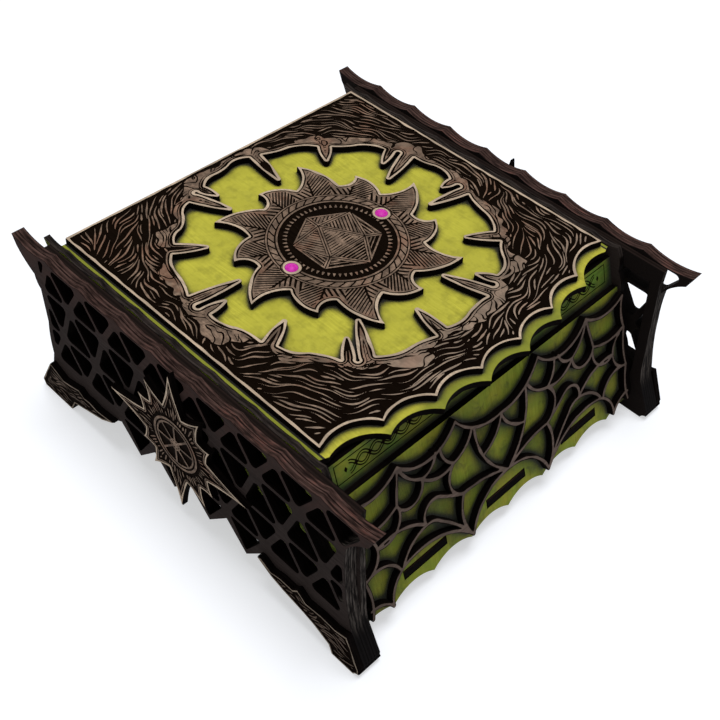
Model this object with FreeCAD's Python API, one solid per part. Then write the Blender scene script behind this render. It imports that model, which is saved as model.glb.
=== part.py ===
import FreeCAD, Part
import math
import os

# Dice storage chest laser-cut from thin plywood. Millimetres, +Z up, -Y is the front.
# The origin is on the table, under the middle of the side frames.

# ---- driving dimensions -------------------------------------------------------------------
ply = 3.2                    # thickness of every plywood layer
inner_width = 182.4          # between the two side walls
lid_top = 91.0               # top of the closed lid above the table
case_back = 94.2             # outer face of the back wall
case_bottom = 9.8            # lower edge of the side walls and the back wall
front_top = -75.1            # outer face of the front, where it meets the lid
front_lean = 18.3            # degrees that the front leans, foot forward

side_length = 225.0          # from the toe of the front foot to the tip of the back horn
front_horn_inset = 1.5       # tip of the front horn behind the toe
rail_crest = 91.0            # crests along the top edge of the side frames
rail_sag = 2.2               # dip between two crests
rail_band = 3.6              # solid wood above the top row of holes
rail_strip = 8.5             # height of the strip between the rail and the side wall
rail_strip_drop = 0.3        # its top below the dips of the rail
cell_pitch = 24.5            # between two chains of the side lattice
chain_inset = 4.0            # where the foremost chain leaves the rail, behind the toe
upper_row = (11.5, 70.5)     # shift along Y and height of the upper nodes of a chain
middle_row = (20.5, 47.5)
lower_row = (31.0, 27.5)
point_height = 8.0           # tips of the hanging points between the feet
notch_height = 21.5          # notches between those points
link_width = 3.1             # thick links of a chain
strut_width = 1.8            # slender struts between two chains
hole_round = 2.4             # rounding of the lattice holes
hole_least = 2.5             # smallest height of a lattice hole worth cutting
front_post_inset = 14.5      # front edge of the side frames at the upper nodes, behind the toe
front_foot_inset = 10.0      # the same edge above the foot
back_post_inset = 16.5       # back edge of the side frames, ahead of the back horn
leg_width = 5.0              # strips that hold the legs off the side walls
wall_ahead = 1.0             # front edge of the side walls ahead of the drawer front
front_contact_inset = (3.0, 15.5)    # front foot on the table, behind the toe
back_contact_inset = (28.5, 6.5)     # back foot on the table, ahead of the back horn

star_centre = (-0.9, 48.8)   # along Y and Z
star_long = (43.0, 45.5)     # upright and lying long rays
star_rays = ((32.0, 27.5), (57.0, 32.5))   # angle and reach of the rays between them
star_valley = 21.5           # reach of the valleys between the rays
star_bow = 0.7               # how far the edges of the rays bow inward

frame_width = 177.0          # engraved frame on the lid
lid_gap = 0.4                # between the lid panel and each side wall
lid_front = -87.9            # foremost reach of the lid panel, at its middle
frame_front = -82.9          # the same for the engraved frame
lid_bow = 227.0              # radius on which the cusps of both front edges lie
lid_scallops = 7
lid_scallop_pitch = 24.85
frame_scallop_pitch = 24.5
scallop_sag = 4.6
lid_corner = -69.8           # front corner of the lid panel
frame_corner = -67.5         # front corner of the engraved frame
mouth_centre = 13.4          # centre of the lid's opening along Y
mouth_radius = 72.0
mouth_ragged = 1.4           # how far its edge wanders in and out
finger_tip = 1.3             # radius of the tips of its stone fingers
finger_bow = 0.5
ripple_angle = 9.0           # degrees between the small ledges of that edge
ripple_sag = 1.3
wreath_tip = 56.5            # long leaves of the wreath
wreath_short = 48.0
wreath_valley = 39.5
wreath_leaves = 12
wreath_turn = 6.0            # degrees that each leaf tip sweeps round
wreath_bow = 2.6             # bow of the two edges of a leaf
gem_radius = 2.9
gem_seat_gap = 0.1
gem_rise = 1.1               # dome above the wreath
gem_reach = 28.0             # gems from the middle of the wreath

seat_gap = 0.2               # under the lid and under the drawer
drawer_top = 70.7            # upper edge of the drawer front
drawer_face_gap = 0.4        # between the drawer front and the case
drawer_front_gap = 0.8       # each side of the drawer front
drawer_side_gap = 0.5        # each side of the drawer box
drawer_floor_z = 14.0        # underside of the drawer floor
drawer_rim = 46.0            # upper edge of the drawer box
drawer_back_gap = 5.0        # between the drawer box and the back wall
tab_centres = (-53.5, 0.0, 53.5)
tab_width = 26.0
tab_gap = 0.5                # each side of a floor tab in its slot
slot_above = 1.2             # room above the floor tab
slot_below = 0.4             # room below it
apron_cusp = 6.3             # lowest points of the drawer front
apron_pitch = 25.0
apron_sag = 3.6

web_width = 1.9              # strands of the web
web_edge = 89.2              # outer strands of the web from the middle

shelf_z = 50.0               # underside of the dice tray floor
felt = 1.0                   # felt linings
divider_top = 82.0           # upper edge of the tray dividers
divider_gap = 0.15           # each side of a half-lap joint and of a divider's end
tray_divider_y = 7.5
tray_divider_x = 29.4
drawer_divider_rim = 43.0
drawer_divider_y = -5.0
drawer_divider_x = 0.0
runner_width = 8.0

hinge_x = 56.0               # middle of each hinge from the middle of the chest
hinge_width = 24.0
leaf_thickness = 0.8
leaf_drop = 10.0             # height of the fixed leaf below the axis
leaf_rise = 5.4              # height of the lid's leaf above the axis
knuckle_radius = 1.6
hinge_offset = 1.9           # axis behind the back wall
pin_radius = 0.75
pin_gap = 0.05
knuckle_share = 1.0 / 3.0    # the lid's knuckle takes the middle third
knuckle_gap = 0.15
screw_radius = 0.8
screw_head = 1.5
screw_head_height = 0.5
screw_length = 4.0
screw_spread = 8.0           # screws from the middle of a leaf

# ---- sizes that follow --------------------------------------------------------------------
wall_in = inner_width / 2
wall_out = wall_in + ply
lattice_in = wall_out + ply
lattice_mid = lattice_in + ply
lattice_out = lattice_mid + ply
back_horn = side_length / 2
toe = -side_length / 2
front_horn = toe + front_horn_inset
chain_front = toe + chain_inset
front_post = toe + front_post_inset
front_post_foot = toe + front_foot_inset
back_post = back_horn - back_post_inset
front_contact = (toe + front_contact_inset[0], toe + front_contact_inset[1])
back_contact = (back_horn - back_contact_inset[0], back_horn - back_contact_inset[1])
lid_under = lid_top - 2 * ply
panel_top = lid_top - ply
case_top = lid_under - seat_gap
lean = math.radians(front_lean)
tan_lean = math.tan(lean)
ply_along_y = ply / math.cos(lean)
outward = FreeCAD.Vector(0, -math.cos(lean), math.sin(lean))
rail_under = rail_crest - rail_band
strip_top = rail_crest - rail_sag - rail_strip_drop
strip_low = strip_top - rail_strip
drawer_back = case_back - ply - drawer_back_gap
drawer_floor_top = drawer_floor_z + ply
hinge_y = case_back + hinge_offset
hinge_z = case_top
link_half = link_width / 2
strut_half = strut_width / 2


def front_y(z):
    """Outer face of the front's first layer at height z."""
    return front_top + (z - lid_under) * tan_lean


# ---- outlines -----------------------------------------------------------------------------
# A point (a, b) ends a straight line. A point (a, b, sag) ends an arc whose middle stands
# sag to the left of the line from the point before.
def wire(points, place):
    edges = []
    for start, end in zip([points[-1]] + points[:-1], points):
        (a, b), (c, d) = start[:2], end[:2]
        sag = end[2] if len(end) > 2 else 0
        if not sag:
            edges.append(Part.LineSegment(place(a, b), place(c, d)).toShape())
            continue
        length = math.hypot(c - a, d - b)
        middle = place((a + c) / 2 - sag * (d - b) / length, (b + d) / 2 + sag * (c - a) / length)
        edges.append(Part.Arc(place(a, b), middle, place(c, d)).toShape())
    return Part.Wire(edges)


def plate(outline, place, depth, holes=()):
    wires = [wire(outline, place)] + [wire(hole, place) for hole in holes]
    return Part.makeFace(wires, "Part::FaceMakerBullseye").extrude(depth)


def flat(outline, z, height, holes=()):
    """Plate that lies flat with its underside at z."""
    return plate(outline, lambda a, b: FreeCAD.Vector(a, b, z), FreeCAD.Vector(0, 0, height), holes)


def upright(outline, x, thickness, holes=()):
    """Plate in a Y-Z plane whose first face is at x."""
    return plate(outline, lambda a, b: FreeCAD.Vector(x, a, b), FreeCAD.Vector(thickness, 0, 0), holes)


def leaning(outline, layer, holes=()):
    """Plate of the leaning front, drawn by X and height. Layer 0 ends at its outer face."""
    base = outward * (layer * ply - ply)
    return plate(outline, lambda a, b: FreeCAD.Vector(a, front_y(b), b) + base, outward * ply, holes)


def box(x0, x1, y0, y1, z0, z1):
    return Part.makeBox(x1 - x0, y1 - y0, z1 - z0, FreeCAD.Vector(x0, y0, z0))


def bar_x(radius, x0, x1, y, z):
    return Part.makeCylinder(radius, x1 - x0, FreeCAD.Vector(x0, y, z), FreeCAD.Vector(1, 0, 0))


def mirrored(shape):
    return shape.mirror(FreeCAD.Vector(0, 0, 0), FreeCAD.Vector(1, 0, 0))


def rounded(corners, radius):
    """Closed outline through the corners, each rounded as far as its sides allow."""
    points = []
    count = len(corners)
    for index, (x, y) in enumerate(corners):
        before = corners[index - 1]
        after = corners[(index + 1) % count]
        u = (before[0] - x, before[1] - y)
        v = (after[0] - x, after[1] - y)
        lu, lv = math.hypot(*u), math.hypot(*v)
        turn = math.atan2(u[0] * v[1] - u[1] * v[0], u[0] * v[0] + u[1] * v[1])
        half = abs(turn) / 2
        run = min(radius / math.tan(half), 0.42 * lu, 0.42 * lv)
        sag = run * math.tan(half) * (1 - math.sin(half))
        points.append((x + u[0] / lu * run, y + u[1] / lu * run))
        points.append((x + v[0] / lv * run, y + v[1] / lv * run, sag if turn > 0 else -sag))
    return points


def inset(corners, widths):
    """Triangle inside the given one, each side moved in by its own width, or None."""
    if len(set(corners)) < 3:
        return None
    lines = []
    ax, ay = corners[0]
    area = 0.0
    for (x0, y0), (x1, y1) in zip(corners, corners[1:] + corners[:1]):
        area += (x0 - ax) * (y1 - ay) - (x1 - ax) * (y0 - ay)
    side = 1 if area > 0 else -1
    for (x0, y0), (x1, y1), width in zip(corners, corners[1:] + corners[:1], widths):
        length = math.hypot(x1 - x0, y1 - y0)
        nx, ny = -side * (y1 - y0) / length, side * (x1 - x0) / length
        lines.append((nx, ny, nx * x0 + ny * y0 + width))
    inner = []
    for (a, b, c), (d, e, f) in zip([lines[-1]] + lines[:-1], lines):
        cross = a * e - b * d
        inner.append(((c * e - b * f) / cross, (a * f - c * d) / cross))
    for index, (x, y) in enumerate(inner):
        nx, ny, offset = lines[(index + 1) % 3]
        if nx * x + ny * y - offset < hole_least:
            return None
    return inner


# ---- side frames --------------------------------------------------------------------------
def chain(index, row):
    """Node of the side lattice: chain number from the front, row 0 at the rail to row 3."""
    shift, height = ((0.0, rail_under + strut_half), upper_row, middle_row, lower_row)[row]
    slope = (front_post_foot - front_post) / (lower_row[1] - upper_row[1])
    front_edge = front_post + link_half + slope * (height - upper_row[1])
    y = chain_front + index * cell_pitch + shift
    if row:
        y = max(y, front_edge)
    return (min(y, back_post - link_half), height)


def lattice_holes():
    holes = []
    last = int((back_post - chain_front) / cell_pitch) + 1
    for index in range(-1, last):
        for row in range(3):
            fore, rear = chain(index, row), chain(index + 1, row)
            fore_low, rear_low = chain(index, row + 1), chain(index + 1, row + 1)
            over = strut_half if row else 0.0
            if index >= 0 or row:
                triangle = inset([rear, fore, fore_low], [over + 0.1, link_half, strut_half])
                if triangle and fore != fore_low:
                    holes.append(rounded(triangle, hole_round))
            triangle = inset([rear, fore_low, rear_low], [strut_half, strut_half, link_half])
            if triangle and (index >= 0 or row):
                holes.append(rounded(triangle, hole_round))
    for fore, point, rear in hanging_points():
        triangle = inset([rear, fore, point], [strut_half, link_half, link_half])
        holes.append(rounded(triangle, strut_half))
    return holes


def hanging_points():
    """Front node, tip and rear node of each point between the two feet."""
    cells = []
    for index in range(2, 6):
        fore, rear = chain(index - 1, 3), chain(index, 3)
        cells.append((fore, ((fore[0] + rear[0]) / 2, point_height), rear))
    return cells


def rail_edge(start, end, crest, sag):
    """Top edge from the front to the back, dipping between crests over the chains."""
    points = [(start, crest)]
    y = chain_front + cell_pitch
    while y < start + cell_pitch / 2:
        y += cell_pitch
    while y < end - cell_pitch / 2:
        points.append((y, crest, -sag))
        y += cell_pitch
    points.append((end, crest, -sag))
    return points


def front_foot(top):
    return [(front_contact[1] + 2.0, 5.0), (front_contact[1], 0.0), (front_contact[0], 0.0),
            (toe, 2.5, -0.6), (toe + 0.5, 5.0, -0.4), top]


def back_foot(top):
    return [top, (back_contact[1] + 1.5, 3.5), (back_contact[1], 0.0), (back_contact[0], 0.0)]


def frame_outline():
    points = rail_edge(front_horn, back_horn, rail_crest, rail_sag)
    points += [(back_horn - 2.5, rail_crest - 5.5), (back_post + 3.0, 76.0, 0.8)]
    points += [(back_post, 69.0, 0.8), (back_post - 0.5, 49.0), (back_post + 1.0, 27.0, 0.8)]
    points += back_foot((back_post + 3.0, 20.0))
    points += [(back_horn - 32.5, 7.0), (back_horn - 44.5, 11.0), (back_horn - 55.5, 14.0)]
    for fore, point, rear in reversed(hanging_points()):
        points += [(rear[0], notch_height), point]
    points += [(chain(1, 3)[0], notch_height), (toe + 48.5, 13.5), (toe + 37.5, 11.5), (toe + 26.5, 9.0)]
    points += front_foot((front_post_foot - 1.5, 21.0))
    points += [(front_post_foot, 28.0), (front_post - 0.5, 55.0, -0.6), (front_post, 73.0, -0.4)]
    points += [(front_horn + 2.5, rail_crest - 6.0, -1.4)]
    return points


def front_root():
    crest = ((14.5, 20.0), (22.5, 20.6), (31.5, 19.4), (36.5, 23.4), (39.5, 20.2), (46.5, 20.4),
             (52.5, 18.6), (58.5, 22.0), (61.0, 21.0))
    under = ((52.5, 16.0), (44.5, 13.6), (32.5, 11.2), (26.5, 9.4))
    points = [(toe + y, z) for y, z in crest + under]
    return points + front_foot((front_post_foot - 2.0, 22.0))


def back_root():
    crest = ((65.5, 21.0), (60.5, 20.0), (52.5, 18.6), (46.5, 19.8), (42.5, 19.0), (38.5, 21.6),
             (34.5, 20.2), (25.5, 17.6), (20.5, 20.0))
    under = ((32.5, 7.4), (44.5, 11.4), (55.5, 15.0))
    top = [(back_horn - y, z) for y, z in crest]
    return top + back_foot((back_post + 1.0, 22.0)) + [(back_horn - y, z) for y, z in under]


def star_outline():
    """Compass star with long rays upright and lying, and two short rays between them."""
    rays = []
    for quarter in range(4):
        reach = star_long[1] if quarter % 2 == 0 else star_long[0]
        rays.append((90.0 * quarter, reach))
        between = star_rays if quarter % 2 == 0 else tuple((90 - a, r) for a, r in reversed(star_rays))
        rays += [(90.0 * quarter + angle, reach) for angle, reach in between]
    points = []
    for (angle, reach), (after, _) in zip(rays, rays[1:] + [(360.0, 0.0)]):
        for turn, radius in ((angle, reach), ((angle + after) / 2, star_valley)):
            y = star_centre[0] + radius * math.cos(math.radians(turn))
            z = star_centre[1] + radius * math.sin(math.radians(turn))
            points.append((y, z, star_bow))
    return points


def wall_outline():
    """Side wall, with a bark-like front edge beside the web and a short back prong."""
    steps = 7
    top = rail_crest - 1.5
    points = rail_edge(front_y(top) - wall_ahead, case_back + 8.3, top, 1.2)[1:]
    points += [(case_back + 6.5, top - 3.5), (case_back, top - 12.0), (case_back, case_bottom)]
    points.append((front_y(case_bottom) - wall_ahead, case_bottom))
    for step in range(1, steps + 1):
        z = case_bottom + (top - case_bottom) * step / steps
        points.append((front_y(z) - wall_ahead, z, 0.9))
    return points


def side_parts():
    holes = lattice_holes()
    parts = {
        "side_wall": upright(wall_outline(), wall_in, ply),
        "inner_lattice": upright(frame_outline(), lattice_in, ply, holes),
        "outer_lattice": upright(frame_outline(), lattice_mid, ply, holes),
        "front_root": upright(front_root(), lattice_out, ply),
        "back_root": upright(back_root(), lattice_out, ply),
        "star": upright(star_outline(), lattice_out, ply),
    }
    parts["rail_spacer"] = box(wall_out, lattice_in, front_post, back_post + 1.8, strip_low, strip_top)
    front_leg = [(front_post_foot + leg_width, 28.0)]
    front_leg += front_foot((front_post_foot - 1.5, 21.0))[1:]
    front_leg += [(front_post_foot, 28.0), (front_post, strip_low), (front_post + leg_width, strip_low)]
    parts["front_leg"] = upright(front_leg, wall_out, ply)
    back_leg = [(back_post - leg_width, strip_low), (back_post - leg_width, 22.0), (back_contact[0], 0.0)]
    back_leg += [(back_contact[1], 0.0), (back_contact[1] + 1.5, 3.5), (back_post - 0.5, 24.0)]
    back_leg += [(back_post - 0.5, strip_low)]
    parts["back_leg"] = upright(back_leg, wall_out, ply)
    return parts


# ---- case ---------------------------------------------------------------------------------
def case_parts():
    inner_face = ply_along_y * 2
    tray_front = [(front_y(case_top) + inner_face, case_top), (front_y(shelf_z) + inner_face, shelf_z)]
    floor = [(front_y(shelf_z) + inner_face, shelf_z), (case_back - ply, shelf_z),
             (case_back - ply, shelf_z + ply), (front_y(shelf_z + ply) + inner_face, shelf_z + ply)]
    wide = [(-wall_in, case_top), (wall_in, case_top), (wall_in, shelf_z), (-wall_in, shelf_z)]
    lower = shelf_z + ply
    liner = [tray_front[0], (front_y(lower) + inner_face, lower), (case_back - ply, lower),
             (case_back - ply, case_top)]
    runner_front = front_y(drawer_floor_z) + ply_along_y + drawer_face_gap
    parts = {
        "back_wall": box(-wall_in, wall_in, case_back - ply, case_back, case_bottom, case_top),
        "fascia": level_cut(leaning(wide, -1), shelf_z, case_top),
        "tray_floor": upright(floor, -wall_in, inner_width),
        "right_tray_liner": upright(liner, wall_in - ply, ply),
        "right_runner": box(wall_in - runner_width, wall_in, runner_front, case_back - ply,
                            case_bottom, drawer_floor_z - seat_gap),
    }
    for name in ("tray_liner", "runner"):
        parts["left_" + name] = mirrored(parts["right_" + name])
    for hinge in (-1, 1):
        for x in (-screw_spread, screw_spread):
            hole = screw_shape(hinge * hinge_x + x, hinge_z - leaf_drop / 2, 0.0)
            parts["back_wall"] = parts["back_wall"].cut(hole)
    return parts


def level_cut(shape, low, high):
    """Keeps what lies between two heights, so that a leaning panel gets level edges."""
    reach = inner_width
    return shape.common(box(-reach, reach, -reach, reach, low, high))


def tray_lining():
    low = shelf_z + ply
    depth = ply_along_y * 2 + divider_gap
    side = wall_in - ply - divider_gap
    back = case_back - ply - divider_gap
    pad = [(front_y(low) + depth + felt, low), (back, low), (back, low + felt),
           (front_y(low + felt) + depth + felt, low + felt)]
    base = low + felt
    half = (base + divider_top) / 2
    slot = ply / 2 + divider_gap
    long_divider = box(-side, side, tray_divider_y - ply / 2, tray_divider_y + ply / 2, base, divider_top)
    profile = [(front_y(base) + depth, base), (back, base), (back, divider_top),
               (front_y(divider_top) + depth, divider_top)]
    parts = {"tray_felt": upright(pad, -side, 2 * side)}
    for name, x in (("left", -tray_divider_x), ("right", tray_divider_x)):
        cross = upright(profile, x - ply / 2, ply)
        gap = box(x - ply, x + ply, tray_divider_y - slot, tray_divider_y + slot, half, divider_top)
        parts[name + "_tray_divider"] = cross.cut(gap)
        long_divider = long_divider.cut(box(x - slot, x + slot, tray_divider_y - ply,
                                            tray_divider_y + ply, base, half))
    parts["long_tray_divider"] = long_divider
    return parts


# ---- lid ----------------------------------------------------------------------------------
def scalloped(side, back, corner, front, pitch):
    """Lid outline: straight sides and back, and a bowed front of concave scallops."""
    points = [(side, back), (-side, back), (-side, corner)]
    for index in range(lid_scallops + 1):
        x = (index - lid_scallops / 2) * pitch
        y = front + x * x / (2 * lid_bow)
        points.append((x, y, scallop_sag) if index else (x, y))
    points.append((side, corner))
    return points


def around(turn, radius):
    """Point on the lid at an angle and a radius from the middle of its opening."""
    angle = math.radians(turn)
    return (radius * math.cos(angle), mouth_centre + radius * math.sin(angle))


def ledge(turn):
    """Ragged reach of the opening between its spikes."""
    angle = math.radians(turn)
    return mouth_radius + mouth_ragged * (math.sin(5 * angle) + 0.6 * math.sin(13 * angle))


def mouth():
    """Opening of the lid frame: a rock edge whose stone fingers point at the wreath."""
    fingers = ((18, 51, 2.9), (25, 61, 2.3), (51, 58, 3.0), (79, 50, 2.6), (108, 62, 2.4),
               (114, 52, 2.9), (143, 57, 3.0), (170, 50, 2.8), (177, 62, 2.4), (203, 56, 3.0),
               (229, 61, 2.4), (235, 51, 2.8), (263, 54, 3.0), (290, 50, 2.8), (297, 63, 2.3),
               (320, 57, 3.0), (348, 50, 2.6), (355, 63, 2.4))
    points = []
    for index, (angle, reach, half) in enumerate(fingers):
        before = fingers[index - 1]
        start = before[0] + before[2] - (360 if index == 0 else 0)
        bay = angle - half - start
        ripples = max(1, round(bay / ripple_angle))
        for step in range(1, ripples + 1):
            turn = start + bay * step / ripples
            sag = ripple_sag if step % 2 else -ripple_sag / 2
            points.append((*around(turn, ledge(turn)), -sag))
        tip = math.degrees(finger_tip / reach)
        points.append((*around(angle - tip, reach + finger_tip), finger_bow))
        points.append((*around(angle + tip, reach + finger_tip), finger_tip))
        points.append((*around(angle + half, ledge(angle + half)), finger_bow))
    return points


def wreath_outline():
    """Ring of swept leaves, long and short in turn."""
    points = []
    step = 360.0 / wreath_leaves
    for index in range(wreath_leaves):
        tip = wreath_tip if index % 2 == 0 else wreath_short
        points.append((*around(index * step + wreath_turn, tip), -wreath_bow))
        points.append((*around((index + 0.5) * step, wreath_valley), wreath_bow))
    return points


def lid_parts():
    panel = scalloped(wall_in - lid_gap, case_back, lid_corner, lid_front, lid_scallop_pitch)
    frame = scalloped(frame_width / 2, case_back, frame_corner, frame_front, frame_scallop_pitch)
    wreath = flat(wreath_outline(), panel_top, ply)
    parts = {
        "lid_panel": flat(panel, lid_under, ply),
        "lid_frame": flat(frame, panel_top, ply, [mouth()]),
    }
    for name, x in (("left", -gem_reach), ("right", gem_reach)):
        centre = FreeCAD.Vector(x, mouth_centre, panel_top)
        wreath = wreath.cut(Part.makeCylinder(gem_radius + gem_seat_gap, ply, centre))
        dome = (gem_radius ** 2 + gem_rise ** 2) / (2 * gem_rise)
        ball = Part.makeSphere(dome, centre + FreeCAD.Vector(0, 0, ply + gem_rise - dome))
        parts[name + "_gem"] = Part.makeCylinder(gem_radius, ply + gem_rise, centre).common(ball)
    parts["lid_wreath"] = wreath
    return parts


# ---- hinges -------------------------------------------------------------------------------
def screw_shape(x, z, head):
    """Screw along +Y from the back, or the hole for its shank where head is zero."""
    y = case_back + (leaf_thickness if head else 0.0)
    back = FreeCAD.Vector(0, -1, 0)
    shape = Part.makeCylinder(screw_radius, y - case_back + screw_length, FreeCAD.Vector(x, y, z), back)
    if head:
        shape = shape.fuse(Part.makeCylinder(head, screw_head_height, FreeCAD.Vector(x, y, z), -back))
    return shape


def hinge_parts(middle):
    half = hinge_width / 2
    lid_half = half * knuckle_share
    clear = knuckle_radius + 0.35
    face = case_back + leaf_thickness
    bore = bar_x(pin_radius + pin_gap, middle - hinge_width, middle + hinge_width, hinge_y, hinge_z)
    fixed = box(middle - half, middle + half, case_back, face, hinge_z - leaf_drop, hinge_z - clear)
    for start, end in ((-half, -lid_half - knuckle_gap), (lid_half + knuckle_gap, half)):
        fixed = fixed.fuse(box(middle + start, middle + end, case_back, face, hinge_z - leaf_drop, hinge_z))
        fixed = fixed.fuse(bar_x(knuckle_radius, middle + start, middle + end, hinge_y, hinge_z))
    moving = box(middle - half, middle + half, case_back, face, hinge_z + clear, hinge_z + leaf_rise)
    moving = moving.fuse(box(middle - lid_half, middle + lid_half, case_back, face,
                             hinge_z + seat_gap, hinge_z + leaf_rise))
    moving = moving.fuse(bar_x(knuckle_radius, middle - lid_half, middle + lid_half, hinge_y, hinge_z))
    fixed = fixed.cut(bore)
    moving = moving.cut(bore)
    for x in (-screw_spread, screw_spread):
        hole = Part.makeCylinder(screw_radius + pin_gap, 2 * leaf_thickness,
                                 FreeCAD.Vector(middle + x, case_back - 0.1, hinge_z - leaf_drop / 2),
                                 FreeCAD.Vector(0, 1, 0))
        fixed = fixed.cut(hole)
    pin = bar_x(pin_radius, middle - half - 0.3, middle + half + 0.3, hinge_y, hinge_z)
    return {"case_leaf": fixed.removeSplitter(), "lid_leaf": moving.removeSplitter(), "hinge_pin": pin}


# ---- drawer -------------------------------------------------------------------------------
def drawer_front_outline(half):
    """Front panel with a straight top, and a lower edge of concave scallops."""
    cut = int(half / apron_pitch)
    end_rise = 2.6
    points = [(-half, drawer_top), (half, drawer_top), (half, apron_cusp + end_rise)]
    points.append((cut * apron_pitch, apron_cusp, -1.2))
    for index in range(cut - 1, -cut - 1, -1):
        points.append((index * apron_pitch, apron_cusp, -apron_sag))
    points.append((-half, apron_cusp + end_rise, -1.2))
    return points


def tab_slots():
    """Slots in the drawer front for the tabs of its floor."""
    half = tab_width / 2 + tab_gap
    top = drawer_floor_top + slot_above
    low = drawer_floor_z - slot_below
    return [[(x - half, top), (x + half, top), (x + half, low), (x - half, low)] for x in tab_centres]


def web_strands():
    """Right half of the web. Each strand runs in arcs through three or more points."""
    edge = web_edge
    centre, hub = (0, 57.5), (0, 28.2)
    peak, side_peak, corner = (27, 69.6), (61.5, 69.6), (edge, 67.2)
    knot, low_knot, side_knot, rim_knot = (31.2, 52.0), (28.6, 34.4), (50, 56.4), (65.4, 53.4)
    fork, side_fork, foot, side_foot = (52, 34), (79.5, 41.5), (26.5, 10.6), (77.4, 9.6)
    return [
        [centre, (18, 61.3), peak], [peak, (44.5, 62.0), side_peak], [side_peak, (74, 64.6), corner],
        [side_peak, (63.5, 61.5), rim_knot], [side_peak, (56.5, 60.8), side_knot],
        [side_knot, (41, 51.0), knot], [(40.5, 62.9), (43.9, 58.0), side_knot],
        [(37.6, 63.2), (36.4, 57.4), knot], [knot, (23.2, 55.2), (18.6, 60.6)],
        [rim_knot, (73.6, 50.6), (edge - 1.5, 51.2)], [rim_knot, (66.2, 44.6), side_fork],
        [rim_knot, (56.2, 48.0), side_knot], [side_fork, (63.5, 40.8), fork],
        [(85.0, 49.6), side_fork, (edge, 31.0)], [fork, (49.2, 42.4), (41.4, 41.6), (35, 37.6), low_knot],
        [knot, (35.6, 44.0), low_knot], [(17.0, 60.0), (13.2, 42.5), hub], [centre, (4.6, 49.4), (13.6, 44.6)],
        [low_knot, (15.0, 33.2), hub], [low_knot, (31.2, 24.0), foot],
        [fork, (48.6, 33.6), (44.0, 30.4), (35.0, 21.8), foot], [fork, (60.5, 31.6), (68.4, 23.6)],
        [(edge, 30.4), (76.4, 30.6), (69.8, 22.8)], [side_foot, (74.6, 18.4), (67.0, 24.2), (49.5, 24.6), foot],
        [foot, (16.5, 23.6), hub], [(edge, 15.8), (82.6, 14.4), side_foot],
        [corner, (edge - 1.6, 59), (edge, 51), (edge - 1.4, 41), (edge, 31), (edge - 1.6, 21), (edge, 11.5)],
    ]


def strand(start, middle, end):
    """Flat strip with round ends along the arc through three points of the drawn web."""
    curve = Part.Circle(*[FreeCAD.Vector(x, z, 0) for x, z in (start, middle, end)])
    circle, radius = curve.Center, curve.Radius
    half = web_width / 2
    turns = [math.atan2(z - circle.y, x - circle.x) for x, z in (start, middle, end)]
    sweep = (turns[2] - turns[0]) % (2 * math.pi)
    if (turns[1] - turns[0]) % (2 * math.pi) > sweep:
        sweep -= 2 * math.pi
    cap = half if sweep > 0 else -half

    def at(reach, share):
        turn = turns[0] + sweep * share
        return (circle.x + reach * math.cos(turn), circle.y + reach * math.sin(turn))

    def rise(reach):
        return reach * (1 - math.cos(sweep / 2)) * (1 if sweep > 0 else -1)

    outer, inner = radius + half, radius - half
    return [at(outer, 0) + (cap * -1,), at(outer, 1) + (-rise(outer),), at(inner, 1) + (-cap,),
            at(inner, 0) + (rise(inner),)]


def web():
    strips = []
    for points in web_strands():
        for first in range(0, len(points) - 2, 2):
            for side in (1, -1):
                arc = [(side * x, z) for x, z in points[first:first + 3]]
                strips.append(leaning(strand(*arc), 1))
    return strips[0].multiFuse(strips[1:]).removeSplitter()


def drawer_parts():
    half = wall_in - drawer_front_gap
    side = wall_in - drawer_side_gap
    forward = FreeCAD.Vector(0, -drawer_face_gap, 0)
    depth = ply_along_y
    low, top = drawer_floor_z, drawer_floor_top
    front = level_top(leaning(drawer_front_outline(half), 0, tab_slots()), drawer_top)
    floor = [(front_y(low) + depth, low), (drawer_back, low), (drawer_back, top),
             (front_y(top) + depth, top)]
    tab = [(front_y(low), low), (front_y(low) + depth, low), (front_y(top) + depth, top),
           (front_y(top), top)]
    board = upright(floor, -side, 2 * side)
    for x in tab_centres:
        board = board.fuse(upright(tab, x - tab_width / 2, tab_width))
    wall = [(front_y(top) + depth, top), (drawer_back, top), (drawer_back, drawer_rim),
            (front_y(drawer_rim) + depth, drawer_rim)]
    inside = side - ply
    pad = [(front_y(top) + depth + felt, top), (drawer_back - ply, top), (drawer_back - ply, top + felt),
           (front_y(top + felt) + depth + felt, top + felt)]
    base = top + felt
    slot = ply / 2 + divider_gap
    end = inside - divider_gap
    y, x = drawer_divider_y, drawer_divider_x
    long_divider = box(-end, end, y - ply / 2, y + ply / 2, base, drawer_divider_rim)
    middle = (base + drawer_divider_rim) / 2
    long_divider = long_divider.cut(box(x - slot, x + slot, y - ply, y + ply, base, middle))
    profile = [(front_y(base) + depth + divider_gap, base), (drawer_back - ply - divider_gap, base),
               (drawer_back - ply - divider_gap, drawer_divider_rim),
               (front_y(drawer_divider_rim) + depth + divider_gap, drawer_divider_rim)]
    cross = upright(profile, x - ply / 2, ply)
    cross = cross.cut(box(x - ply, x + ply, y - slot, y + slot, middle, drawer_divider_rim))
    parts = {
        "drawer_front": front,
        "drawer_web": web(),
        "drawer_floor": board.removeSplitter(),
        "drawer_right_side": upright(wall, side - ply, ply),
        "drawer_left_side": upright(wall, -side, ply),
        "drawer_back": box(-inside, inside, drawer_back - ply, drawer_back, top, drawer_rim),
        "drawer_felt": upright(pad, -inside + divider_gap, 2 * (inside - divider_gap)),
        "long_drawer_divider": long_divider,
        "cross_drawer_divider": cross,
    }
    for shape in parts.values():
        shape.translate(forward)
    return parts


def level_top(shape, high):
    return level_cut(shape, -inner_width, high)


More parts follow.
